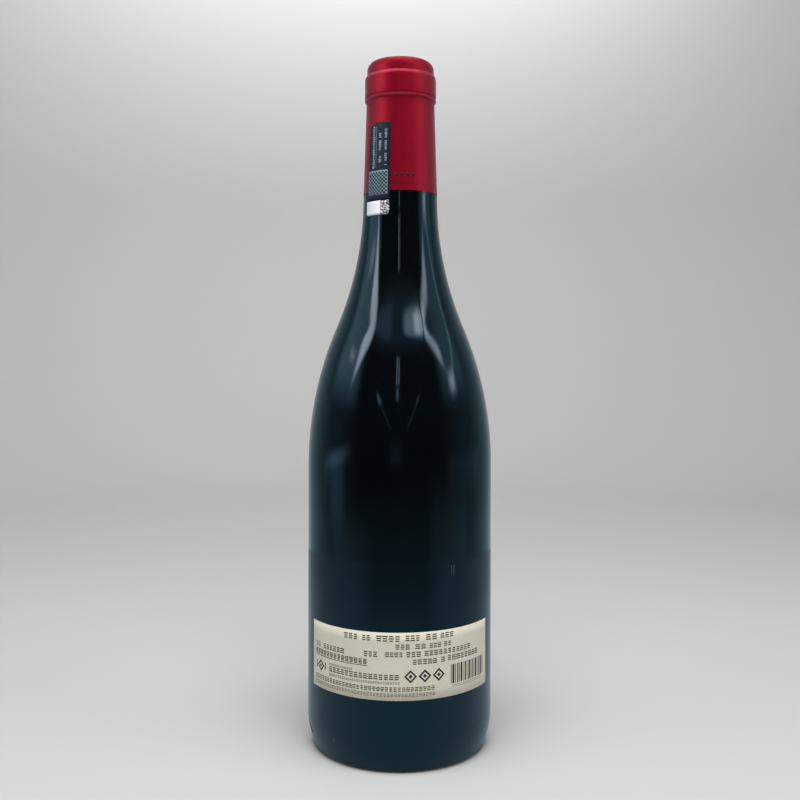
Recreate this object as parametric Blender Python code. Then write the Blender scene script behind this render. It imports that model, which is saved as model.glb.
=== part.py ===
"""A full, shut wine bottle with sloping shoulders, standing on its base.

Metres, +Z up. The origin is the middle of the base, on the surface that the
bottle stands on. The back label faces -Y. Angles round the bottle are counted
from -Y, positive towards +X.
"""
import math

import bmesh
import bpy

# The bottle's outside, from the base up
HEIGHT = 0.3035
BODY_RADIUS = 0.0410
PUNT_RADIUS = 0.0290
PUNT_DEPTH = 0.0250
FOOT_EDGE = 0.0030
HEEL_RADIUS = 0.0400
HEEL_TURN = math.radians(20)
SHOULDER_BEND = 0.1550
NECK_BEND = 0.1500
SHOULDER_SLOPE = math.radians(22.5)
NECK_FOOT = 0.2435
NECK_RADIUS = 0.01656
NECK_TOP_RADIUS = 0.01525

# The ring and the crown above it, under the capsule
RING_BOTTOM = 0.2858
RING_TOP = 0.2973
RING_RADIUS = 0.0160
RING_EDGE = 0.0005
RING_SHOULDER = 0.0036
CROWN_RADIUS = 0.0150
CROWN_EDGE = 0.0030
CROWN_DROP = 0.0036

# The capsule, the foil cup drawn over the neck
CAPSULE_FOOT = 0.2442
CAPSULE_WALL = 0.0003

# Paper and film, and the space that neighbouring pieces keep
PAPER = 0.0002
GAP = 0.0003

# The back label
LABEL_LEFT = math.radians(-64.1)
LABEL_RIGHT = math.radians(64.8)
LABEL_BOTTOM = 0.0310
LABEL_HEIGHT = 0.0278
LABEL_TILT = math.radians(0.3)

# The seal strip, which narrows a little upwards and has one corner cut off
STRIP_BOTTOM = 0.2404
STRIP_TOP = 0.2744
STRIP_LEFT = (math.radians(-58.9), math.radians(-55.5))
STRIP_RIGHT = (math.radians(-16.3), math.radians(-15.0))
STRIP_CUT_WIDTH = 0.33
STRIP_CUT_HEIGHT = 0.0016

# The small tag stuck just below the strip
TAG_LEFT = math.radians(-59.8)
TAG_RIGHT = math.radians(-16.1)
TAG_BOTTOM = 0.2337
TAG_TOP = 0.2399
TAG_CORNER = 0.0018

# Sides of a turned piece, and steps along its curves
SIDES = 64
BEND_STEPS = 8
EDGE_STEPS = 3

# What follows from the sizes above
SHOULDER_IN = SHOULDER_BEND * (1 - math.cos(SHOULDER_SLOPE))
NECK_IN = NECK_BEND * (1 - math.cos(SHOULDER_SLOPE))
SLOPE_TOP = NECK_FOOT - NECK_BEND * math.sin(SHOULDER_SLOPE)
SLOPE_HEIGHT = (BODY_RADIUS - NECK_RADIUS - SHOULDER_IN - NECK_IN) / math.tan(SHOULDER_SLOPE)
SLOPE_FOOT = SLOPE_TOP - SLOPE_HEIGHT
WALL_TOP = SLOPE_FOOT - SHOULDER_BEND * math.sin(SHOULDER_SLOPE)
UNDER_CAPSULE = CAPSULE_WALL + GAP


def outside(height):
    """The bottle's outer radius at a height between the heel and the ring."""
    if height <= WALL_TOP:
        return BODY_RADIUS
    if height <= SLOPE_FOOT:
        rise = height - WALL_TOP
        return BODY_RADIUS - SHOULDER_BEND + math.sqrt(SHOULDER_BEND**2 - rise**2)
    if height <= SLOPE_TOP:
        return NECK_RADIUS + NECK_IN + (SLOPE_TOP - height) * math.tan(SHOULDER_SLOPE)
    if height <= NECK_FOOT:
        drop = NECK_FOOT - height
        return NECK_RADIUS + NECK_BEND - math.sqrt(NECK_BEND**2 - drop**2)
    share = (height - NECK_FOOT) / (RING_BOTTOM - NECK_FOOT)
    return NECK_RADIUS + share * (NECK_TOP_RADIUS - NECK_RADIUS)


def arc(centre, size, start, end, steps):
    """Points on an arc about (radius, height), counted from outwards to up."""
    angles = [math.radians(start + (end - start) * step / steps) for step in range(steps + 1)]
    return [(centre[0] + size[0] * math.cos(a), centre[1] + size[1] * math.sin(a)) for a in angles]


def foot():
    """From the top of the punt, over the bearing ring and up the heel to the wall."""
    turn = math.degrees(HEEL_TURN)
    punt = arc((0.0, 0.0), (PUNT_RADIUS, PUNT_DEPTH), 90, 0, BEND_STEPS)
    heel_top = FOOT_EDGE + (HEEL_RADIUS - FOOT_EDGE) * math.sin(HEEL_TURN)
    heel_centre = (BODY_RADIUS - HEEL_RADIUS, heel_top)
    edge_centre = (heel_centre[0] + (HEEL_RADIUS - FOOT_EDGE) * math.cos(HEEL_TURN), FOOT_EDGE)
    edge = arc(edge_centre, (FOOT_EDGE, FOOT_EDGE), -90, -turn, EDGE_STEPS)
    heel = arc(heel_centre, (HEEL_RADIUS, HEEL_RADIUS), -turn, 0, EDGE_STEPS)
    return punt + edge + heel[1:]


def shoulder():
    """From the top of the wall, out of one bend and into the other, to the neck."""
    turns = [math.sin(SHOULDER_SLOPE * step / BEND_STEPS) for step in range(BEND_STEPS + 1)]
    heights = [WALL_TOP + SHOULDER_BEND * turn for turn in turns]
    heights += [NECK_FOOT - NECK_BEND * turn for turn in reversed(turns)]
    return [(outside(height), height) for height in heights]


def finish(start, inset):
    """The neck from a height up, its ring and its crown, all moved in by inset."""
    ring = RING_RADIUS - inset
    crown = CROWN_RADIUS - inset
    ring_bottom = RING_BOTTOM + inset
    ring_top = RING_TOP - inset
    top = HEIGHT - inset
    neck = [(outside(start) - inset, start), (NECK_TOP_RADIUS - inset, ring_bottom)]
    lip = arc((ring - RING_EDGE, ring_bottom + RING_EDGE), (RING_EDGE, RING_EDGE), -90, 0, EDGE_STEPS)
    ledge = arc((crown, ring_top - RING_SHOULDER), (ring - crown, RING_SHOULDER), 0, 90, EDGE_STEPS)
    rim = arc((crown - CROWN_EDGE, top - CROWN_DROP), (CROWN_EDGE, CROWN_DROP), 0, 90, EDGE_STEPS)
    return neck + lip + ledge + rim + [(0.0, top)]


def material(name, colour, roughness, metallic):
    """A plain finish for one piece."""
    made = bpy.data.materials.new(name)
    made.use_nodes = True
    shader = made.node_tree.nodes["Principled BSDF"]
    shader.inputs["Base Color"].default_value = (*colour, 1.0)
    shader.inputs["Roughness"].default_value = roughness
    shader.inputs["Metallic"].default_value = metallic
    return made


def add(name, bm, finish_material):
    """Put a finished bmesh in the scene as one named object."""
    mesh = bpy.data.meshes.new(name)
    bm.to_mesh(mesh)
    bm.free()
    mesh.materials.append(finish_material)
    mesh.shade_smooth()
    mesh.set_sharp_from_angle(angle=math.radians(35))
    piece = bpy.data.objects.new(name, mesh)
    bpy.context.scene.collection.objects.link(piece)
    return piece


def turned(name, contour, finish_material):
    """Spin a contour that starts and ends on the axis into one closed body."""
    bm = bmesh.new()
    verts = [bm.verts.new((radius, 0.0, height)) for radius, height in contour]
    for first, second in zip(verts, verts[1:]):
        bm.edges.new((first, second))
    bmesh.ops.spin(
        bm, geom=bm.verts[:] + bm.edges[:], cent=(0, 0, 0), axis=(0, 0, 1),
        angle=math.tau, steps=SIDES, use_merge=True,
    )
    bmesh.ops.remove_doubles(bm, verts=bm.verts[:], dist=1e-6)
    bmesh.ops.recalc_face_normals(bm, faces=bm.faces[:])
    return add(name, bm, finish_material)


def wrapped(name, columns, rows, place, finish_material):
    """Wrap a thin sheet round the bottle.

    place turns a point of the flat sheet, 0 to 1 across and up, into an angle
    and a height.
    """
    bm = bmesh.new()
    bmesh.ops.create_grid(bm, x_segments=columns, y_segments=rows, size=0.5)
    for vert in bm.verts:
        angle, height = place(vert.co.x + 0.5, vert.co.y + 0.5)
        radius = outside(height) + GAP
        vert.co = (radius * math.sin(angle), -radius * math.cos(angle), height)
    piece = add(name, bm, finish_material)
    thickness = piece.modifiers.new("thickness", "SOLIDIFY")
    thickness.thickness = PAPER
    thickness.offset = 1.0
    thickness.use_even_offset = True
    return piece


def between(ends, share):
    """The value a share of the way from the first end to the second."""
    return ends[0] + (ends[1] - ends[0]) * share


def on_label(across, up):
    angle = between((LABEL_LEFT, LABEL_RIGHT), across)
    return angle, LABEL_BOTTOM + LABEL_HEIGHT * up + angle * BODY_RADIUS * math.tan(LABEL_TILT)


def on_strip(across, up):
    angle = between((between(STRIP_LEFT, up), between(STRIP_RIGHT, up)), across)
    cut = STRIP_CUT_HEIGHT * max(0.0, 1 - across / STRIP_CUT_WIDTH)
    return angle, between((STRIP_BOTTOM, STRIP_TOP - cut), up)


def on_tag(across, up):
    angle = between((TAG_LEFT, TAG_RIGHT), across)
    into_corner = max(0.0, TAG_CORNER - (TAG_RIGHT - angle) * NECK_RADIUS)
    bottom = TAG_BOTTOM + TAG_CORNER - math.sqrt(TAG_CORNER**2 - into_corner**2)
    return angle, between((bottom, TAG_TOP), up)


for old in list(bpy.data.objects):
    bpy.data.objects.remove(old, do_unlink=True)

# One solid of dark glass and the wine that fills it, drawn in under the capsule
step_height = CAPSULE_FOOT - GAP
turned(
    "bottle",
    foot() + shoulder() + [(outside(step_height), step_height)] + finish(step_height, UNDER_CAPSULE),
    material("dark_glass", (0.008, 0.016, 0.019), 0.06, 0.0),
)

# A thin cup: down its outside from the crown, round its edge and back up inside
turned(
    "capsule",
    list(reversed(finish(CAPSULE_FOOT, 0.0))) + finish(CAPSULE_FOOT, CAPSULE_WALL),
    material("red_foil", (0.24, 0.008, 0.022), 0.36, 0.0),
)

wrapped("back_label", 24, 1, on_label, material("cream_paper", (0.61, 0.56, 0.46), 0.62, 0.0))
wrapped("seal_strip", 9, 8, on_strip, material("dark_film", (0.012, 0.030, 0.040), 0.34, 0.0))
wrapped("seal_tag", 12, 2, on_tag, material("silver_film", (0.62, 0.63, 0.66), 0.28, 0.4))
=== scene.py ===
import math
import random

import bmesh
import bpy
from mathutils import Matrix, Vector


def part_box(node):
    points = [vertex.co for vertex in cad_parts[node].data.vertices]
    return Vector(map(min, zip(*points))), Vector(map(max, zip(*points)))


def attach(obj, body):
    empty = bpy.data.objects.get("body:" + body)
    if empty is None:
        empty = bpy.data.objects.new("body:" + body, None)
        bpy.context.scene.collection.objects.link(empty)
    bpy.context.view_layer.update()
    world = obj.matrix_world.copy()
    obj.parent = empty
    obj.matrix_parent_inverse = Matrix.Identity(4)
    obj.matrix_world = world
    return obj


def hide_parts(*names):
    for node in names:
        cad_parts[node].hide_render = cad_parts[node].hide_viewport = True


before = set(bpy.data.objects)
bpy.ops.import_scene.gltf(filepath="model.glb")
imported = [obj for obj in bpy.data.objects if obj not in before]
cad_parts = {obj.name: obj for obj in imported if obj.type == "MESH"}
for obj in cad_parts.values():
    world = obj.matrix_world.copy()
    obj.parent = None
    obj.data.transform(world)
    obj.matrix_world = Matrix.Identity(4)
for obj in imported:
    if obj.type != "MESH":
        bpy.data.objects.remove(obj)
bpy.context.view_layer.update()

# The glass
# A mould-blown bottle of green-black soda-lime glass, full of red wine and so
# dark that it works as a curved black mirror. It is turned from one outline,
# with the faint ridge of the mould's joint down both sides and small ribs on the
# foot. The ring and crown that the foil shows through itself are sized here too.
MM = 0.001
BODY_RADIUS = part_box("bottle")[1].x
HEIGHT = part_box("capsule")[1].z
CAPSULE_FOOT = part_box("capsule")[0].z
NECK_RADIUS = 16.56 * MM
NECK_FOOT = 243.5 * MM
NECK_TOP_RADIUS = 15.25 * MM
SHOULDER_BEND = 155 * MM
NECK_BEND = 150 * MM
SHOULDER_SLOPE = math.radians(22.5)
PUNT_RADIUS = 29 * MM
PUNT_DEPTH = 25 * MM
FOOT_EDGE = 3.0 * MM
HEEL_RADIUS = 40 * MM
HEEL_TURN = math.radians(20)
RING_BOTTOM = 285.8 * MM
RING_TOP = 297.3 * MM
RING_RADIUS = 16.0 * MM
RING_EDGE = 0.5 * MM
RING_SHOULDER = 1.8 * MM
BEAD = 0.9 * MM
GROOVE = 0.22 * MM
CROWN_RADIUS = 15.0 * MM
CROWN_EDGE = 3.0 * MM
CROWN_DROP = 3.6 * MM
FOIL = 0.12 * MM
FOIL_GAP = 0.1 * MM
SEAM_RIDGE = 0.07 * MM
SEAM_HALF = 0.1 * MM
RIB = 0.14 * MM
RIB_BOTTOM = 0.2 * MM
RIB_TOP = 2.2 * MM
SIDES = 288

HEEL_IN = BODY_RADIUS - HEEL_RADIUS
HEEL_TOP = FOOT_EDGE + (HEEL_RADIUS - FOOT_EDGE) * math.sin(HEEL_TURN)
FOOT_IN = HEEL_IN + (HEEL_RADIUS - FOOT_EDGE) * math.cos(HEEL_TURN)
SHOULDER_IN = SHOULDER_BEND * (1 - math.cos(SHOULDER_SLOPE))
NECK_IN = NECK_BEND * (1 - math.cos(SHOULDER_SLOPE))
SLOPE_TOP = NECK_FOOT - NECK_BEND * math.sin(SHOULDER_SLOPE)
SLOPE_HEIGHT = (BODY_RADIUS - NECK_RADIUS - SHOULDER_IN - NECK_IN) / math.tan(SHOULDER_SLOPE)
SLOPE_FOOT = SLOPE_TOP - SLOPE_HEIGHT
WALL_TOP = SLOPE_FOOT - SHOULDER_BEND * math.sin(SHOULDER_SLOPE)


def outside(height):
    """The bottle's outer radius at a height between the foot and the ring."""
    if height <= HEEL_TOP:
        return HEEL_IN + math.sqrt(HEEL_RADIUS**2 - (HEEL_TOP - height)**2)
    if height <= WALL_TOP:
        return BODY_RADIUS
    if height <= SLOPE_FOOT:
        rise = height - WALL_TOP
        return BODY_RADIUS - SHOULDER_BEND + math.sqrt(SHOULDER_BEND**2 - rise**2)
    if height <= SLOPE_TOP:
        return NECK_RADIUS + NECK_IN + (SLOPE_TOP - height) * math.tan(SHOULDER_SLOPE)
    if height <= NECK_FOOT:
        drop = NECK_FOOT - height
        return NECK_RADIUS + NECK_BEND - math.sqrt(NECK_BEND**2 - drop**2)
    share = (height - NECK_FOOT) / (RING_BOTTOM - NECK_FOOT)
    return NECK_RADIUS + share * (NECK_TOP_RADIUS - NECK_RADIUS)


def arc(centre, size, start, end, steps):
    """Points on an arc about (radius, height), in degrees from outwards to up."""
    angles = [math.radians(start + (end - start) * step / steps) for step in range(steps + 1)]
    return [(centre[0] + size[0] * math.cos(a), centre[1] + size[1] * math.sin(a)) for a in angles]


def finish(start, inset):
    """The neck from a height up, its ring and its crown, all moved in by inset."""
    ring = RING_RADIUS - inset
    crown = CROWN_RADIUS - inset
    bottom = RING_BOTTOM + inset
    ledge = RING_TOP - inset - RING_SHOULDER
    top = HEIGHT - inset
    neck_steps = 12
    edge = (RING_EDGE, RING_EDGE)
    heights = [start + (bottom - start) * step / neck_steps for step in range(neck_steps)]
    neck = [(outside(height) - inset, height) for height in heights]
    tuck = arc((NECK_TOP_RADIUS - inset + RING_EDGE, bottom - RING_EDGE), edge, 180, 90, 5)
    lip = arc((ring - RING_EDGE, bottom + RING_EDGE), edge, -90, 0, 6)
    groove = arc((ring, bottom + BEAD + RING_EDGE), (GROOVE, RING_EDGE), 270, 90, 8)
    shoulder = arc((crown, ledge), (ring - crown, RING_SHOULDER), 0, 90, 10)
    rim = arc((crown - CROWN_EDGE, top - CROWN_DROP), (CROWN_EDGE, CROWN_DROP), 0, 90, 16)
    return neck + tuck[:-1] + lip + groove + shoulder + rim + [(0.0, top)]


def linear(hex_colour):
    """An sRGB hex colour as linear RGBA."""
    parts = [int(hex_colour[i:i + 2], 16) / 255 for i in (1, 3, 5)]
    return (*[p / 12.92 if p <= 0.04045 else ((p + 0.055) / 1.055) ** 2.4 for p in parts], 1.0)


def add_node(tree, kind, inputs, **settings):
    """Add a node; each input is a value, or the socket that feeds it."""
    made = tree.nodes.new(kind)
    for name, value in settings.items():
        setattr(made, name, value)
    for name, value in inputs.items():
        if isinstance(value, bpy.types.NodeSocket):
            tree.links.new(value, made.inputs[name])
        else:
            made.inputs[name].default_value = value
    return made


def new_material(name, **values):
    """A Principled material; each value sets the socket of that name, with _ for a space."""
    made = bpy.data.materials.new(name)
    made.use_nodes = True
    shader = made.node_tree.nodes["Principled BSDF"]
    for socket, value in values.items():
        shader.inputs[socket.replace("_", " ")].default_value = value
    return made, made.node_tree, shader


def add_piece(name, bm, material, replaced=()):
    """Make a bmesh one smooth-shaded piece of the bottle."""
    mesh = bpy.data.meshes.new(name)
    bm.to_mesh(mesh)
    bm.free()
    mesh.materials.append(material)
    mesh.shade_smooth()
    mesh.set_sharp_from_angle(angle=math.radians(38))
    piece = bpy.data.objects.new(name, mesh)
    bpy.context.scene.collection.objects.link(piece)
    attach(piece, "root")
    if replaced:
        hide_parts(*replaced)
    return piece


def turn(contour, sides):
    """Spin a contour of (radius, height) points about the bottle's axis."""
    bm = bmesh.new()
    verts = [bm.verts.new((radius, 0.0, height)) for radius, height in contour]
    for first, second in zip(verts, verts[1:]):
        bm.edges.new((first, second))
    bmesh.ops.spin(
        bm, geom=bm.verts[:] + bm.edges[:], cent=(0, 0, 0), axis=(0, 0, 1),
        angle=math.tau, steps=sides, use_merge=True,
    )
    bmesh.ops.remove_doubles(bm, verts=bm.verts[:], dist=1e-7)
    bmesh.ops.recalc_face_normals(bm, faces=bm.faces[:])
    return bm


heel_turn = math.degrees(HEEL_TURN)
punt = arc((0.0, 0.0), (PUNT_RADIUS, PUNT_DEPTH), 90, 4, 28)
foot = arc((FOOT_IN, FOOT_EDGE), (FOOT_EDGE, FOOT_EDGE), -90, -heel_turn, 14)
heel = arc((HEEL_IN, HEEL_TOP), (HEEL_RADIUS, HEEL_RADIUS), -heel_turn, 0, 14)
bend_steps = 30
turns = [math.sin(SHOULDER_SLOPE * step / bend_steps) for step in range(bend_steps + 1)]
heights = [WALL_TOP + SHOULDER_BEND * share for share in turns]
heights += [NECK_FOOT - NECK_BEND * share for share in reversed(turns)]
shoulder = [(outside(height), height) for height in heights]
step_height = CAPSULE_FOOT + 0.5 * MM
neck_step = [(outside(step_height) - FOIL_GAP, step_height)]
under_foil = finish(step_height, FOIL + FOIL_GAP)
bm = turn(punt + foot + heel[1:] + shoulder + neck_step + under_foil, SIDES)
for vert in bm.verts:
    if abs(vert.co.y) > SEAM_HALF and FOOT_EDGE < vert.co.z < CAPSULE_FOOT:
        vert.co.xy *= 1 - SEAM_RIDGE / vert.co.xy.length
    column = round(math.atan2(vert.co.y, vert.co.x) / math.tau * SIDES)
    if RIB_BOTTOM < vert.co.z < RIB_TOP and vert.co.xy.length > FOOT_IN and column % 2:
        vert.co.xy *= 1 - RIB / vert.co.xy.length

# Polished glass of IOR 1.52. The wine behind it swallows all light, so its own
# colour is nearly black and what it mirrors head-on comes back a cold teal.
# Waves a few micrometres high and 14 mm apart, from the mould, bend the lights.
glass, tree, shader = new_material(
    "dark_bottle_glass", Base_Color=linear("#040607"), IOR=1.52,
    Specular_Tint=(0.32, 0.72, 1.0, 1.0),
)
place = add_node(tree, "ShaderNodeTexCoord", {})
waves = add_node(tree, "ShaderNodeTexNoise", {
    "Vector": place.outputs["Object"], "Scale": 1 / (14 * MM), "Detail": 1.0,
})
smears = add_node(tree, "ShaderNodeTexNoise", {
    "Vector": place.outputs["Object"], "Scale": 1 / (9 * MM), "Detail": 4.0,
})
polish = add_node(tree, "ShaderNodeMapRange", {
    "Value": smears.outputs["Fac"], "From Min": 0.35, "From Max": 0.75,
    "To Min": 0.035, "To Max": 0.11,
})
bump = add_node(tree, "ShaderNodeBump", {
    "Height": waves.outputs["Fac"], "Strength": 0.35, "Distance": 0.06 * MM,
})
tree.links.new(polish.outputs["Result"], shader.inputs["Roughness"])
tree.links.new(bump.outputs["Normal"], shader.inputs["Normal"])
add_piece("glass_bottle", bm, glass, ["bottle"])

# The capsule
# A tin-alloy foil cup, lacquered red and spun down over the ring and the neck,
# so it shows the ring's and the crown's form through itself. Its foot is a raw
# cut edge, a hair proud of the glass. The satin lacquer gives soft, broad lights
# and a pale bloom towards its sides, and a painted pale highlight runs along the ring's edges.
HEM = 0.12 * MM
outer = finish(CAPSULE_FOOT, 0.0)
outer[0] = (outer[0][0] + HEM, outer[0][1])
inner = finish(CAPSULE_FOOT, FOIL)
bm = turn(list(reversed(outer)) + inner, SIDES)
foil, tree, shader = new_material(
    "red_lacquered_foil", Metallic=0.5, IOR=1.45, Specular_IOR_Level=0.35,
    Sheen_Weight=0.16, Sheen_Roughness=0.35, Sheen_Tint=(1.0, 0.62, 0.68, 1.0),
)
place = add_node(tree, "ShaderNodeTexCoord", {})
grain = add_node(tree, "ShaderNodeTexNoise", {
    "Vector": place.outputs["Object"], "Scale": 1 / (0.7 * MM), "Detail": 3.0,
})
drift = add_node(tree, "ShaderNodeTexNoise", {
    "Vector": place.outputs["Object"], "Scale": 1 / (8 * MM), "Detail": 2.0,
})
red = add_node(tree, "ShaderNodeMix", {
    "Factor": drift.outputs["Fac"], "A": linear("#84021e"), "B": linear("#8d0324"),
}, data_type="RGBA")
at = add_node(tree, "ShaderNodeSeparateXYZ", {"Vector": place.outputs["Object"]})
# Painted highlight: pale pink bands along the ring's top shoulder and its lower lip, patchy along
# their length, stand in for the glint of the lamps above.
EDGE_HIGHLIGHT_BANDS = ((RING_TOP - 0.9 * MM, 1.0 * MM), (RING_BOTTOM + 0.3 * MM, 0.6 * MM))
edge_highlight = 0.0
for edge, reach in EDGE_HIGHLIGHT_BANDS:
    above = add_node(tree, "ShaderNodeMath", {0: at.outputs["Z"], 1: edge}, operation="SUBTRACT")
    above = add_node(tree, "ShaderNodeMath", {0: above.outputs[0]}, operation="ABSOLUTE")
    band = add_node(tree, "ShaderNodeMapRange", {
        "Value": above.outputs[0], "From Min": reach, "From Max": 0.0,
    })
    edge_highlight = add_node(tree, "ShaderNodeMath", {
        0: band.outputs["Result"], 1: edge_highlight,
    }, operation="MAXIMUM").outputs[0]
patchy = add_node(tree, "ShaderNodeMapRange", {
    "Value": drift.outputs["Fac"], "From Min": 0.35, "From Max": 0.6,
    "To Min": 0.45, "To Max": 1.0,
})
edge_highlight = add_node(tree, "ShaderNodeMath", {
    0: edge_highlight, 1: patchy.outputs["Result"],
}, operation="MULTIPLY")
red = add_node(tree, "ShaderNodeMix", {
    "Factor": edge_highlight.outputs[0], "A": red.outputs["Result"], "B": linear("#bb4257"),
}, data_type="RGBA")
dull = add_node(tree, "ShaderNodeMapRange", {
    "Value": grain.outputs["Fac"], "To Min": 0.38, "To Max": 0.50,
})
height = add_node(tree, "ShaderNodeMath", {0: grain.outputs["Fac"], 1: 0.15}, operation="MULTIPLY")
height = add_node(tree, "ShaderNodeMath", {
    0: height.outputs[0], 1: drift.outputs["Fac"],
}, operation="ADD")
bump = add_node(tree, "ShaderNodeBump", {
    "Height": height.outputs[0], "Strength": 0.35, "Distance": 0.12 * MM,
})
tree.links.new(red.outputs["Result"], shader.inputs["Base Color"])
tree.links.new(dull.outputs["Result"], shader.inputs["Roughness"])
tree.links.new(bump.outputs["Normal"], shader.inputs["Normal"])
add_piece("foil_capsule", bm, foil, ["capsule"])

# The capsule's print
# A thin black rule rolled onto the foil just above its foot, and above it a
# line of small lozenges in three groups.
RULE_HEIGHT = 247.1 * MM
RULE_WIDTH = 0.55 * MM
INK = 0.02 * MM
bm = bmesh.new()
corners = [(outside(RULE_HEIGHT) + out, RULE_HEIGHT + up) for out, up in (
    (-INK, -RULE_WIDTH / 2), (INK, -RULE_WIDTH / 2), (INK, RULE_WIDTH / 2), (-INK, RULE_WIDTH / 2),
)]
verts = [bm.verts.new((radius, 0.0, height)) for radius, height in corners]
for index, vert in enumerate(verts):
    bm.edges.new((vert, verts[(index + 1) % 4]))
bmesh.ops.spin(
    bm, geom=bm.verts[:] + bm.edges[:], cent=(0, 0, 0), axis=(0, 0, 1),
    angle=math.tau, steps=144, use_merge=True,
)
bmesh.ops.recalc_face_normals(bm, faces=bm.faces[:])
black_ink, tree, shader = new_material(
    "black_foil_ink", Base_Color=linear("#1c0508"), Roughness=0.42,
)
add_piece("foil_rule", bm, black_ink)


def mark(bm, left, bottom, width, height, turned=0.0):
    """Add one flat oblong to a sheet that is still flat; x runs round the bottle, y up it."""
    centre = Matrix.Translation((left + width / 2, bottom + height / 2, 0.0))
    size = Matrix.Diagonal((width, height, 1.0, 1.0))
    made = bmesh.ops.create_grid(
        bm, x_segments=1, y_segments=1, size=0.5,
        matrix=centre @ Matrix.Rotation(turned, 4, "Z") @ size,
    )
    return made["verts"][0].link_faces[0]


def wrap(bm, lift, tilt=0.0, widest=1.2 * MM, tallest=4 * MM, measured_at=None):
    """Cut a flat sheet finely enough to bend, and lay it round the bottle, lift above it.

    A sheet's angles round the bottle come from the radius at measured_at, or
    else at each of its points.
    """
    for axis, step in ((0, widest), (1, tallest)):
        first = min(vert.co[axis] for vert in bm.verts)
        last = max(vert.co[axis] for vert in bm.verts)
        normal = Vector((0.0, 0.0, 0.0))
        normal[axis] = 1.0
        for cut in range(1, math.ceil((last - first) / step)):
            at = normal * (first + cut * (last - first) / math.ceil((last - first) / step))
            bmesh.ops.bisect_plane(
                bm, geom=bm.verts[:] + bm.edges[:] + bm.faces[:], dist=1e-7,
                plane_co=at, plane_no=normal,
            )
    for vert in bm.verts:
        height = vert.co.y + vert.co.x * math.tan(tilt)
        angle = vert.co.x / outside(measured_at if measured_at else height)
        radius = outside(height) + lift
        vert.co = (radius * math.sin(angle), -radius * math.cos(angle), height)


def add_sheet(name, bm, material, thickness, replaced=()):
    """A wrapped sheet as a piece with a thickness."""
    piece = add_piece(name, bm, material, replaced)
    solid = piece.modifiers.new("thickness", "SOLIDIFY")
    solid.thickness = thickness
    solid.offset = 1.0
    return piece


LOZENGE = 1.36 * MM
LOZENGE_BOTTOM = 250.35 * MM
LOZENGE_HEIGHT = 251.2 * MM
LOZENGE_PITCH = 2.6 * MM
LOZENGES = 7
LOZENGE_GROUPS = 3
bm = bmesh.new()
group_pitch = math.tau / LOZENGE_GROUPS * outside(LOZENGE_HEIGHT)
for group in range(LOZENGE_GROUPS):
    for index in range(LOZENGES):
        around = group * group_pitch + (index - LOZENGES + 3) * LOZENGE_PITCH
        mark(bm, around, LOZENGE_BOTTOM, LOZENGE, LOZENGE, math.radians(45))
wrap(bm, 0.0, measured_at=LOZENGE_HEIGHT)
add_sheet("foil_lozenges", bm, black_ink, INK)

# The glass's marks
# Handling has left two short pairs of pale scuffs, one on the heel and one above
# the label. A crooked dark streak, matt and near black, is drawn on the left of
# the heel. Each lies flat on the glass as a film far too thin to feel.
MARKS_AT = 50 * MM
# Left edge, foot, width and height of each scuff, in millimetres
SCUFFS = (
    (-30.6, 8.2, 0.2, 3.4), (-30.0, 9.2, 0.14, 2.1),
    (22.6, 81.0, 0.14, 4.2), (23.8, 80.8, 0.18, 4.4),
)
scuffs = bmesh.new()
for around, up, width, height in SCUFFS:
    mark(scuffs, around * MM, up * MM, width * MM, height * MM)
wrap(scuffs, 0.0, measured_at=MARKS_AT)
scuffed, tree, shader = new_material("scuffed_glass", Base_Color=linear("#49575c"), Roughness=0.5)
add_sheet("glass_scuffs", scuffs, scuffed, INK)

# The dark streak's path, as millimetres round the glass and up it
HEEL_MARK = ((-55.6, 11.8), (-54.6, 10.8), (-53.8, 11.0), (-52.6, 9.6), (-50.8, 8.9), (-50.0, 7.8))
HEEL_MARK_WIDTH = 0.7
HEEL_MARK_OVERLAP = 0.4
heel_mark = bmesh.new()
for (left, high), (right, low) in zip(HEEL_MARK, HEEL_MARK[1:]):
    length = math.hypot(right - left, high - low) + HEEL_MARK_OVERLAP
    turned = math.atan2(low - high, right - left)
    mark(
        heel_mark, ((left + right - length) / 2) * MM, ((high + low - HEEL_MARK_WIDTH) / 2) * MM,
        length * MM, HEEL_MARK_WIDTH * MM, turned,
    )
wrap(heel_mark, 0.0, measured_at=MARKS_AT)
# A matt, near-black streak laid on the heel's glass.
heel_mark_glass, tree, shader = new_material(
    "dark_mark_glass", Base_Color=linear("#101315"), Roughness=0.9, Specular_IOR_Level=0.0,
)
add_sheet("heel_dark_mark", heel_mark, heel_mark_glass, INK)

# The back label
# Uncoated cream paper, 0.1 mm thick, glued low on the wall and a third of a
# degree out of level. Its corners are barely rounded and its cut edges show
# pale. Short fibres fleck it, and it is a little warmer in some places.
PAPER = 0.11 * MM
LABEL_TILT = math.radians(0.3)
LABEL_LEFT = math.radians(-64.1) * BODY_RADIUS
LABEL_RIGHT = math.radians(64.8) * BODY_RADIUS
LABEL_BOTTOM = 31.0 * MM
LABEL_HEIGHT = 27.8 * MM
GLUE = 0.01 * MM
bm = bmesh.new()
mark(bm, LABEL_LEFT, LABEL_BOTTOM, LABEL_RIGHT - LABEL_LEFT, LABEL_HEIGHT)
bmesh.ops.bevel(
    bm, geom=bm.verts[:], offset=0.4 * MM, affect="VERTICES", segments=4, profile=0.5, material=-1,
)
wrap(bm, GLUE, LABEL_TILT)
paper, tree, shader = new_material("cream_label_paper", Roughness=0.58, IOR=1.45)
place = add_node(tree, "ShaderNodeTexCoord", {})
fibre = add_node(tree, "ShaderNodeTexNoise", {
    "Vector": place.outputs["Object"], "Scale": 1 / (0.5 * MM), "Detail": 4.0,
})
cloud = add_node(tree, "ShaderNodeTexNoise", {
    "Vector": place.outputs["Object"], "Scale": 1 / (18 * MM), "Detail": 2.0,
})
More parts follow.
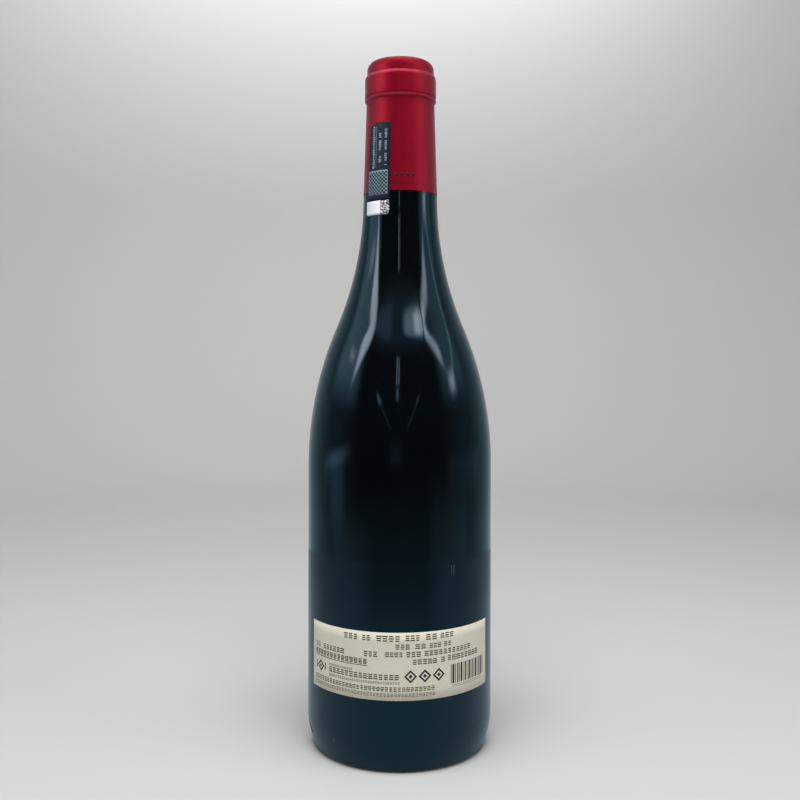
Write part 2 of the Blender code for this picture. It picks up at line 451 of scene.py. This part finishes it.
cream = add_node(tree, "ShaderNodeMix", {
    "Factor": cloud.outputs["Fac"], "A": linear("#d4d3c1"), "B": linear("#d2cab9"),
}, data_type="RGBA")
flecked = add_node(tree, "ShaderNodeMapRange", {
    "Value": fibre.outputs["Fac"], "From Min": 0.3, "From Max": 0.7,
    "To Min": 0.94, "To Max": 1.03,
})
cream = add_node(tree, "ShaderNodeVectorMath", {
    0: cream.outputs["Result"], "Scale": flecked.outputs["Result"],
}, operation="SCALE")
bump = add_node(tree, "ShaderNodeBump", {
    "Height": fibre.outputs["Fac"], "Strength": 0.4, "Distance": 0.03 * MM,
})
tree.links.new(cream.outputs["Vector"], shader.inputs["Base Color"])
tree.links.new(bump.outputs["Normal"], shader.inputs["Normal"])
add_sheet("label_paper", bm, paper, PAPER, ["back_label"])

# The label's print
# Flat black and brown ink. Where the label has lines of small print there are
# rows of plain stacks of level strokes, and the larger places hold plain shapes.
draw = random.Random(7)


def print_line(bm, left, right, bottom, height, strokes=3, weight=0.21):
    """A line of print as a row of plain stacks of level strokes, that say nothing."""
    stacks = max(1, round((right - left) / (height * 1.05)))
    pitch = (right - left) / stacks
    thick = height * weight
    for stack in range(stacks):
        for stroke in range(strokes):
            level = bottom + (height - thick) * stroke / (strokes - 1)
            length = pitch * draw.uniform(0.6, 0.92)
            mark(bm, left + (stack + 0.5) * pitch - length / 2, level, length, thick)


def add_print(name, bm, material):
    """Lay flat print on the label, as thin as ink."""
    wrap(bm, PAPER + GLUE, LABEL_TILT)
    add_sheet(name, bm, material, INK)


# Left end, right end, bottom and height of each black line, in millimetres
BLACK_LINES = (
    (-24.6, -17.6, 55.2, 2.2), (-15.9, -12.0, 55.2, 2.2), (-9.8, 0.5, 55.2, 2.3),
    (2.3, 8.6, 55.4, 2.3), (10.7, 16.1, 55.5, 2.3), (17.2, 23.8, 55.7, 2.0),
    (-1.8, 4.4, 52.0, 2.0), (6.3, 11.2, 52.1, 1.9), (12.4, 17.8, 52.1, 1.8),
    (18.8, 22.8, 52.2, 1.8), (-15.2, -9.0, 48.7, 2.1), (-6.0, 1.6, 48.9, 1.9),
    (2.6, 9.0, 48.8, 2.1), (10.2, 33.4, 49.0, 2.0), (-37.0, -24.3, 48.4, 2.0),
    (5.2, 16.0, 45.7, 2.0), (17.4, 19.9, 45.8, 2.0), (20.6, 38.4, 45.9, 2.1),
    (-33.0, 0.0, 39.5, 2.1), (-43.2, 15.0, 34.8, 1.7),
)
black = bmesh.new()
for left, right, bottom, height in BLACK_LINES:
    print_line(black, left * MM, right * MM, bottom * MM, height * MM)
print_line(black, -43.2 * MM, -13.4 * MM, 45.4 * MM, 2.1 * MM, strokes=4, weight=0.17)
mark(black, -43.2 * MM, 44.7 * MM, 29.9 * MM, 0.28 * MM)
label_ink, tree, shader = new_material(
    "black_label_ink", Base_Color=linear("#15120f"), Roughness=0.5,
)
add_print("print_lines", black, label_ink)

BROWN_LINES = (
    (-43.2, -38.9, 48.4, 1.9), (-33.0, -20.2, 42.1, 0.9),
    (-33.0, 0.2, 37.7, 1.0), (-43.2, 15.2, 32.6, 1.4),
)
brown = bmesh.new()
for left, right, bottom, height in BROWN_LINES:
    print_line(brown, left * MM, right * MM, bottom * MM, height * MM, weight=0.2)
brown_ink, tree, shader = new_material(
    "brown_label_ink", Base_Color=linear("#7b6156"), Roughness=0.5,
)
add_print("print_small_lines", brown, brown_ink)

# Three open lozenges in the place of the large print, and one on the left
# between two short bars, each a square frame stood on its corner round a solid one.
FRAME_SHARE = 0.18
SPACE_SHARE = 0.16
shapes = bmesh.new()


def open_lozenge(bm, across, up, size):
    """A square frame stood on its corner, with a small solid one inside."""
    side = size * math.sqrt(0.5)
    middle = mark(bm, across - side / 2, up - side / 2, side, side, math.radians(45))
    for share in (FRAME_SHARE, SPACE_SHARE):
        ring = bmesh.ops.inset_region(
            bm, faces=[middle], thickness=side * share, use_even_offset=True, use_boundary=True,
        )
    bmesh.ops.delete(bm, geom=ring["faces"], context="FACES_ONLY")


for across in (4.6, 10.6, 16.7):
    open_lozenge(shapes, across * MM, 40.8 * MM, 5.4 * MM)
open_lozenge(shapes, -38.8 * MM, 40.6 * MM, 5.0 * MM)
for side in (-1, 1):
    mark(shapes, (-39.1 + side * 3.2) * MM, 39.2 * MM, 0.6 * MM, 3.0 * MM)
add_print("print_lozenges", shapes, label_ink)

# A block of upright bars of three widths that repeat in turn, so it says nothing.
BAR_WIDTHS = (0.35, 0.95, 0.35, 0.6)
BAR_GAPS = (0.45, 0.5, 0.7)
BARS_LEFT = 22.4
BARS_RIGHT = 42.6
BARS_BOTTOM = 36.0
BAR_HEIGHT = 8.0
bars = bmesh.new()
across = BARS_LEFT
index = 0
while across < BARS_RIGHT:
    width = BAR_WIDTHS[index % len(BAR_WIDTHS)]
    mark(bars, across * MM, BARS_BOTTOM * MM, width * MM, BAR_HEIGHT * MM)
    across += width + BAR_GAPS[index % len(BAR_GAPS)]
    index += 1
print_line(bars, 23.0 * MM, 41.5 * MM, 34.6 * MM, 0.9 * MM, strokes=2, weight=0.22)
add_print("print_bars", bars, label_ink)

# The seal strip
# A strip of blue-black plastic film, 12 by 34 mm, pressed down over the foil's
# foot onto the glass, with one top corner cut off. Its semi-gloss face is a
# little crinkled, so its lights break up, and it is printed in pale grey.
FILM = 0.08 * MM
FILM_GLUE = 0.02 * MM
SEAL_AT = 255 * MM
SEAL_RADIUS = outside(SEAL_AT)
STRIP_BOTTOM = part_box("seal_strip")[0].z
STRIP_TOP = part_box("seal_strip")[1].z
STRIP_LEFT = (-16.6 * MM, -15.7 * MM)
STRIP_RIGHT = (-4.65 * MM, -4.25 * MM)
CUT_WIDTH = 3.9 * MM
CUT_HEIGHT = 1.6 * MM
TOP_SLOPE = 0.1 * MM
FILM_STEPS = {"widest": 0.8 * MM, "tallest": 1.0 * MM, "measured_at": SEAL_AT}
strip = bmesh.new()
corners = (
    (STRIP_LEFT[0], STRIP_BOTTOM), (STRIP_RIGHT[0], STRIP_BOTTOM), (STRIP_RIGHT[1], STRIP_TOP),
    (STRIP_LEFT[1] + CUT_WIDTH, STRIP_TOP - TOP_SLOPE), (STRIP_LEFT[1], STRIP_TOP - CUT_HEIGHT),
)
strip.faces.new([strip.verts.new((across, up, 0.0)) for across, up in corners])
wrap(strip, HEM + FILM_GLUE, **FILM_STEPS)
film, tree, shader = new_material(
    "blue_black_film", Base_Color=linear("#0f1b28"), Roughness=0.46, IOR=1.38,
    Specular_Tint=(0.6, 0.85, 1.0, 1.0),
)
place = add_node(tree, "ShaderNodeTexCoord", {})
crinkle = add_node(tree, "ShaderNodeTexNoise", {
    "Vector": place.outputs["Object"], "Scale": 1 / (3 * MM), "Detail": 3.0,
})
bump = add_node(tree, "ShaderNodeBump", {
    "Height": crinkle.outputs["Fac"], "Strength": 0.4, "Distance": 0.08 * MM,
})
tree.links.new(bump.outputs["Normal"], shader.inputs["Normal"])
add_sheet("film_strip", strip, film, FILM, ["seal_strip"])

# The strip's print
# Three upright columns of small pale strokes beside a hairline, and below them
# a square panel of pale grey, with a plain check of small dark squares.
FILM_TOP = HEM + FILM + FILM_GLUE
SHORTEST, LONGEST = 0.3, 0.7
RAGGED = 0.4
# Left edge and width of each column, and the foot and top of its runs, in millimetres
COLUMNS = (
    (-13.9, 1.7, ((254.2, 272.6),)),
    (-10.3, 1.6, ((256.6, 259.6), (262.0, 266.4), (267.4, 270.0))),
    (-7.3, 1.4, ((255.2, 256.0), (257.0, 260.8), (262.0, 265.8), (267.2, 271.2))),
)
pale = bmesh.new()
for left, width, runs in COLUMNS:
    for low, high in runs:
        level = low
        while level < high - SHORTEST:
            length = draw.uniform(SHORTEST, LONGEST)
            inset = draw.uniform(0.0, RAGGED)
            reach = width - inset - draw.uniform(0.0, RAGGED)
            mark(pale, (left + inset) * MM, level * MM, reach * MM, length * MM)
            level += length + draw.uniform(0.2, 0.4)
mark(pale, -11.65 * MM, 254.4 * MM, 0.14 * MM, 18.0 * MM)
wrap(pale, FILM_TOP, widest=0.8 * MM, measured_at=SEAL_AT)
pale_ink, tree, shader = new_material(
    "pale_film_ink", Base_Color=linear("#84929c"), Roughness=0.5, IOR=1.38,
)
add_sheet("strip_print", pale, pale_ink, INK)

PANEL_LEFT = -16.1
PANEL_BOTTOM = 242.5
PANEL_SIZE = 10.6
PANEL_EDGE = 0.4
CELLS = 12
panel = bmesh.new()
mark(panel, PANEL_LEFT * MM, PANEL_BOTTOM * MM, PANEL_SIZE * MM, PANEL_SIZE * MM)
wrap(panel, FILM_TOP, **FILM_STEPS)
panel_ink, tree, shader = new_material(
    "grey_panel_ink", Base_Color=linear("#6c8290"), Roughness=0.5, IOR=1.38,
)
add_sheet("strip_panel", panel, panel_ink, INK)

cells = bmesh.new()
cell = (PANEL_SIZE - 2 * PANEL_EDGE) / CELLS
cell_size = cell * 1.01 * MM
for row in range(CELLS):
    for column in range(CELLS):
        if (row + column) % 2 == 0:
            left = (PANEL_LEFT + PANEL_EDGE + column * cell) * MM
            bottom = (PANEL_BOTTOM + PANEL_EDGE + row * cell) * MM
            mark(cells, left, bottom, cell_size, cell_size)
wrap(cells, FILM_TOP + INK * 0.6, widest=0.8 * MM, measured_at=SEAL_AT)
dark_ink, tree, shader = new_material(
    "dark_panel_ink", Base_Color=linear("#16242e"), Roughness=0.5, IOR=1.38,
)
add_sheet("panel_cells", cells, dark_ink, INK)

# The tag
# A slip of silvery film, 13 by 6 mm with round lower corners, stuck to the glass
# just under the strip. Its left part is plain and its right part is speckled
# with fine dark grains about 0.7 mm apart.
TAG_LEFT, TAG_RIGHT = -17.5 * MM, -4.75 * MM
TAG_BOTTOM, TAG_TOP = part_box("seal_tag")[0].z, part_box("seal_tag")[1].z
TAG_CORNER = 1.6 * MM
SPECKLED_FROM = -9.3 * MM
tag = bmesh.new()
mark(tag, TAG_LEFT, TAG_BOTTOM, TAG_RIGHT - TAG_LEFT, TAG_TOP - TAG_BOTTOM)
bmesh.ops.bevel(
    tag, geom=[v for v in tag.verts if v.co.y < TAG_BOTTOM + 0.1 * MM], offset=TAG_CORNER,
    affect="VERTICES", segments=8, profile=0.5, material=-1,
)
wrap(tag, FILM_GLUE, **FILM_STEPS)
silver, tree, shader = new_material("silver_film", Roughness=0.4, Metallic=0.2, IOR=1.45)
place = add_node(tree, "ShaderNodeTexCoord", {})
speckle = add_node(tree, "ShaderNodeTexNoise", {
    "Vector": place.outputs["Object"], "Scale": 1 / (0.7 * MM), "Detail": 1.0, "Distortion": 1.5,
})
speckle = add_node(tree, "ShaderNodeMapRange", {
    "Value": speckle.outputs["Fac"], "From Min": 0.43, "From Max": 0.51,
})
across = add_node(tree, "ShaderNodeSeparateXYZ", {"Vector": place.outputs["Object"]})
right_part = add_node(tree, "ShaderNodeMath", {
    0: across.outputs["X"], 1: SEAL_RADIUS * math.sin(SPECKLED_FROM / SEAL_RADIUS),
}, operation="GREATER_THAN")
dark = add_node(tree, "ShaderNodeMath", {
    0: speckle.outputs["Result"], 1: right_part.outputs[0],
}, operation="MULTIPLY")
grey = add_node(tree, "ShaderNodeMix", {
    "Factor": dark.outputs[0], "A": linear("#e9ecf0"), "B": linear("#12171d"),
}, data_type="RGBA")
tree.links.new(grey.outputs["Result"], shader.inputs["Base Color"])
add_sheet("film_tag", tag, silver, FILM, ["seal_tag"])

# The studio
# A pale round cove of matt board, lit by one soft lamp overhead and weaker ones
# in front, at both sides and on the backdrop. No lamp is mirrored in the bottle,
# because what it mirrors is the screen below.
COVE_RADIUS = 1.3
COVE_BEND = 0.45
COVE_HEIGHT = 1.7


def add_stage(name, contour, material, steps):
    """Spin a contour of (radius, height) into a smooth surface that faces the bottle."""
    bm = bmesh.new()
    verts = [bm.verts.new((radius, 0.0, height)) for radius, height in contour]
    for first, second in zip(verts, verts[1:]):
        bm.edges.new((first, second))
    bmesh.ops.spin(
        bm, geom=bm.verts[:] + bm.edges[:], cent=(0, 0, 0), axis=(0, 0, 1),
        angle=math.tau, steps=steps, use_merge=True,
    )
    bmesh.ops.remove_doubles(bm, verts=bm.verts[:], dist=1e-6)
    mesh = bpy.data.meshes.new(name)
    bm.to_mesh(mesh)
    bm.free()
    mesh.materials.append(material)
    mesh.shade_smooth()
    made = bpy.data.objects.new(name, mesh)
    bpy.context.scene.collection.objects.link(made)
    return made


bend = arc((COVE_RADIUS - COVE_BEND, COVE_BEND), (COVE_BEND, COVE_BEND), -90, 0, 16)
backdrop, tree, shader = new_material(
    "pale_backdrop", Base_Color=linear("#c2c3c2"), Roughness=0.8, Specular_IOR_Level=0.0,
)
add_stage("cove", [(0.0, 0.0)] + bend + [(COVE_RADIUS, COVE_HEIGHT)], backdrop, 96)


def add_lamp(name, place, target, width, height, brightness, spread=180):
    """A soft rectangular lamp that faces a place and isn't itself mirrored in the bottle.

    A spread below 180 degrees keeps its light off the wall beside it, and its
    energy goes down by what the narrower beam would gain straight ahead.
    """
    data = bpy.data.lights.new(name, "AREA")
    data.shape = "RECTANGLE"
    data.size, data.size_y = width, height
    data.energy = brightness * math.pi * width * height
    if spread < 180:
        half = math.radians(spread / 2)
        data.spread = 2 * half
        data.energy *= (math.tan(half) - half) / math.tan(half)
    lamp = bpy.data.objects.new(name, data)
    lamp.location = place
    lamp.rotation_euler = (Vector(place) - Vector(target)).to_track_quat("Z", "Y").to_euler()
    lamp.visible_camera = False
    lamp.visible_glossy = False
    bpy.context.scene.collection.objects.link(lamp)


BOTTLE_MIDDLE = (0.0, 0.0, 0.15)
add_lamp("top_lamp", (0.0, -0.25, 0.85), BOTTLE_MIDDLE, 0.5, 0.5, 9.4)
add_lamp("front_lamp", (0.15, -1.22, 0.55), BOTTLE_MIDDLE, 1.2, 0.6, 1.85, 120)
add_lamp("left_lamp", (-1.15, -0.35, 0.6), BOTTLE_MIDDLE, 0.6, 0.8, 1.6, 120)
add_lamp("right_lamp", (1.15, -0.35, 0.6), BOTTLE_MIDDLE, 0.6, 0.8, 2.2, 120)
add_lamp("backdrop_lamp", (-0.05, 0.9, 1.12), (-0.1, 1.3, 0.8), 0.9, 0.2, 9.5)

# The screen
# What a dark bottle mirrors is what gives it its shape, so a round screen that
# only the bottle sees stands about it: dark ahead, paler to the sides and behind,
# with soft strips of light at both sides, a thin double lamp ahead and a bank of
# lamps above. Its light is cold, and so warm in the brightest strips that the
# blue-green glass shows them as white.
SCREEN_RADIUS = 0.46
SCREEN_HEIGHT = 0.75
screen, tree, shader = new_material("soft_light_screen")
output = tree.nodes["Material Output"]
tree.nodes.remove(shader)


def azimuth_of(tree, place):
    """Degrees round the bottle from straight ahead, and the point's separate X, Y and Z."""
    at = add_node(tree, "ShaderNodeSeparateXYZ", {"Vector": place})
    ahead = add_node(tree, "ShaderNodeMath", {0: at.outputs["Y"], 1: -1.0}, operation="MULTIPLY")
    turned = add_node(tree, "ShaderNodeMath", {
        0: at.outputs["X"], 1: ahead.outputs[0],
    }, operation="ARCTAN2")
    turned = add_node(tree, "ShaderNodeMath", {0: turned.outputs[0]}, operation="DEGREES")
    return turned.outputs[0], at


place = add_node(tree, "ShaderNodeTexCoord", {})
azimuth, at = azimuth_of(tree, place.outputs["Object"])
to_side = add_node(tree, "ShaderNodeMath", {0: azimuth}, operation="ABSOLUTE")
to_side = add_node(tree, "ShaderNodeMath", {0: to_side.outputs[0], 1: 180.0}, operation="DIVIDE")
room = add_node(tree, "ShaderNodeValToRGB", {"Fac": to_side.outputs[0]})
# The screen's own light at an angle from straight ahead, in degrees
ROOM = (
    (0, 0.03), (50, 0.03), (60, 0.08), (76, 0.16), (98, 0.22),
    (118, 0.36), (135, 0.42), (155, 0.46), (172, 0.12),
)
while len(room.color_ramp.elements) < len(ROOM):
    room.color_ramp.elements.new(0.5)
for element, (degrees, level) in zip(room.color_ramp.elements, ROOM):
    element.position = degrees / 180
    element.color = (level, level, level, 1.0)
light = room.outputs["Color"]


def soft_step(tree, value, middle, reach, edge):
    """1 within reach of the middle of a range, falling to 0 across a soft edge."""
    away = add_node(tree, "ShaderNodeMath", {0: value, 1: middle}, operation="SUBTRACT")
    away = add_node(tree, "ShaderNodeMath", {0: away.outputs[0]}, operation="ABSOLUTE")
    return add_node(tree, "ShaderNodeMapRange", {
        "Value": away.outputs[0], "From Min": reach + edge / 2, "From Max": max(reach - edge / 2, 0.0),
    }, interpolation_type="SMOOTHSTEP").outputs["Result"]


# Each strip: the azimuth of its middle, half its width and the softness of its
# sides, in degrees; the height of its middle, half its height, the softness of
# its ends and its rise for each degree, in millimetres; and its brightness,
# which is below nothing where a dark gap runs through the lights behind it
STRIPS = (
    (-60.5, 8.5, 8, 508, 78, 64, 11, 5.8),
    (-81, 6, 8, 398, 16, 50, 0, 1.5),
    (-82, 21, 16, 430, 150, 130, 0, 1.0),
    (57, 11.5, 9, 504, 42, 54, -7.5, 4.0),
    (50, 4, 4, 578, 22, 50, -7, 2.5),
    (77, 5, 9, 318, 30, 60, 0, 3.2),
    (90, 11, 8, 390, 10, 40, 6.5, 0.9),
    (80, 20, 16, 420, 130, 120, 0, 0.6),
    (26, 18, 13, 640, 60, 54, -1.7, 2.3),
    (37, 7, 12, 614, 22, 70, -1.7, 5.5),
    (0, 62, 20, 640, 110, 130, 0, 0.25),
    (-33, 15, 12, 612, 40, 60, 0, 0.4),
    (46.5, 4.5, 2, 565, 13, 10, 14, -7.0),
    (-48.5, 4, 2, 555, 10, 12, -7, -0.5),
    (-82, 16, 20, 108, 14, 44, 1.1, 0.7),
    (-80, 9, 12, 72, 40, 50, 0, 0.35),
    (85, 25, 14, 95, 25, 50, 0, 0.14),
    (62, 25, 14, 15, 45, 60, 0, 0.13),
    (-62, 22, 14, 0, 30, 50, 0, 0.12),
    (0, 200, 2, 0, 8, 130, 0, 0.12),
    (180, 15, 18, 20, 30, 180, 0, 0.22),
    (-180, 15, 18, 20, 30, 180, 0, 0.22),
    (-4.4, 0.45, 0.5, 422, 60, 16, 0, 3.8),
    (-1.4, 0.45, 0.5, 422, 60, 16, 0, 3.4),
    (-3.2, 1.2, 1.0, 326, 22, 14, 0, 1.9),
    (-20, 8, 4, 262, 7, 14, -5.4, 0.28),
    (-28, 2.2, 3, 306, 10, 16, -5.4, 1.5),
    (-24.5, 1.2, 2, 300, 8, 12, -5.4, 0.8),
    (17, 7, 4, 265, 7, 14, 6.3, 0.4),
    (23.5, 1.6, 3, 306, 7, 14, 6.3, 0.8),
    (-4, 6, 6, 138, 34, 40, 0, 0.12),
)
for middle, reach, edge, height, rise, end, slant, bright in STRIPS:
    across = soft_step(tree, azimuth, middle, reach, edge)
    level = add_node(tree, "ShaderNodeMath", {
        0: azimuth, 1: -slant * MM, 2: at.outputs["Z"],
    }, operation="MULTIPLY_ADD").outputs[0]
    upwards = soft_step(tree, level, (height - slant * middle) * MM, rise * MM, end * MM)
    strip = add_node(tree, "ShaderNodeMath", {0: across, 1: upwards}, operation="MULTIPLY")
    light = add_node(tree, "ShaderNodeMath", {
        0: strip.outputs[0], 1: bright, 2: light,
    }, operation="MULTIPLY_ADD").outputs[0]
DARKEST = 0.02
light = add_node(tree, "ShaderNodeMath", {0: light, 1: DARKEST}, operation="MAXIMUM").outputs[0]
warmth = add_node(tree, "ShaderNodeMapRange", {"Value": light, "From Min": 0.8, "From Max": 3.5})
cool = soft_step(tree, to_side.outputs[0], 110 / 180, 34 / 180, 36 / 180)
colour = add_node(tree, "ShaderNodeMix", {
    "Factor": cool, "A": (0.95, 1.0, 1.04, 1.0), "B": (0.54, 0.87, 0.99, 1.0),
}, data_type="RGBA")
colour = add_node(tree, "ShaderNodeMix", {
    "Factor": warmth.outputs["Result"], "A": colour.outputs["Result"], "B": (1.78, 1.12, 1.0, 1.0),
}, data_type="RGBA")
glow = add_node(tree, "ShaderNodeEmission", {"Color": colour.outputs["Result"], "Strength": light})
tree.links.new(glow.outputs["Emission"], output.inputs["Surface"])
screen.cycles.emission_sampling = "NONE"


def only_mirrored(made):
    """Let a stage piece be seen in what is glossy and nowhere else."""
    for ray in ("camera", "diffuse", "transmission", "volume_scatter", "shadow"):
        setattr(made, f"visible_{ray}", False)


only_mirrored(add_stage(
    "light_screen", [(SCREEN_RADIUS, 0.0), (SCREEN_RADIUS, SCREEN_HEIGHT)], screen, 128,
))

# The floor's shade
# A mat on the floor that only the bottle sees. It gives the floor that the glass
# mirrors a cold tint, and away from the bottle it falls off into shade, deepest
# straight ahead, where the screen above it is darkest too.
MAT_HEIGHT = 0.4 * MM
MAT_FROM = 0.038
SHADE_FROM = 0.06
SHADE_FULL = 0.40
shade, tree, shader = new_material("floor_shade")
output = tree.nodes["Material Output"]
tree.nodes.remove(shader)
place = add_node(tree, "ShaderNodeTexCoord", {})
azimuth, at = azimuth_of(tree, place.outputs["Object"])
away = add_node(tree, "ShaderNodeVectorMath", {0: place.outputs["Object"]}, operation="LENGTH")
depth = add_node(tree, "ShaderNodeMapRange", {
    "Value": away.outputs["Value"], "From Min": SHADE_FROM, "From Max": SHADE_FULL,
}, interpolation_type="SMOOTHSTEP")
ahead = add_node(tree, "ShaderNodeMapRange", {
    "Value": soft_step(tree, azimuth, 0.0, 42.0, 30.0), "To Min": 0.24, "To Max": 0.68,
})
depth = add_node(tree, "ShaderNodeMath", {
    0: depth.outputs["Result"], 1: ahead.outputs["Result"],
}, operation="MULTIPLY")
clear = add_node(tree, "ShaderNodeBsdfTransparent", {"Color": (0.70, 0.88, 1.0, 1.0)})
dark = add_node(tree, "ShaderNodeEmission", {"Strength": 0.0})
mixed = add_node(tree, "ShaderNodeMixShader", {
    0: depth.outputs[0], 1: clear.outputs[0], 2: dark.outputs[0],
})
tree.links.new(mixed.outputs[0], output.inputs["Surface"])
only_mirrored(add_stage(
    "shade_mat", [(MAT_FROM, MAT_HEIGHT), (SCREEN_RADIUS, MAT_HEIGHT)], shade, 96,
))

# The lamp overhead
# A round soft panel, also seen only as a reflection, gives the crown's rim and
# the ring's shoulder their pale edge.
TOP_RADIUS = 0.26
overhead, tree, shader = new_material(
    "overhead_lamp", Emission_Color=(1.0, 0.98, 0.95, 1.0), Emission_Strength=1.6,
)
overhead.cycles.emission_sampling = "NONE"
only_mirrored(add_stage(
    "overhead_panel", [(0.0, SCREEN_HEIGHT), (TOP_RADIUS, SCREEN_HEIGHT)], overhead, 64,
))

# The room
# A weak even light from all round, as in a white room, which fills the shadows.
# Colours are shown as they are, with no film curve over them.
world = bpy.data.worlds.new("soft_room")
world.use_nodes = True
world.node_tree.nodes["Background"].inputs["Color"].default_value = linear("#eef0f2")
world.node_tree.nodes["Background"].inputs["Strength"].default_value = 0.43
bpy.context.scene.world = world
bpy.context.scene.view_settings.view_transform = "Standard"

# The camera
# Level, 170 mm above the base and 440 mm from the bottle's axis, with the
# horizon 40 pixels of 800 above the middle of the picture.
IMAGE_SIZE = 800
FOCAL_PIXELS = 977.5
HORIZON_PIXELS = 39.5
ROLL = math.radians(-0.12)
camera_data = bpy.data.cameras.new("camera")
camera_data.sensor_width = 36.0
camera_data.lens = FOCAL_PIXELS * camera_data.sensor_width / IMAGE_SIZE
camera_data.shift_y = -HORIZON_PIXELS / IMAGE_SIZE
camera_data.clip_start = 0.01
camera = bpy.data.objects.new("camera", camera_data)
camera.location = (0.0, -0.4404, 0.1701)
camera.rotation_euler = (math.radians(90), ROLL, 0.0)
bpy.context.scene.collection.objects.link(camera)
bpy.context.scene.camera = camera
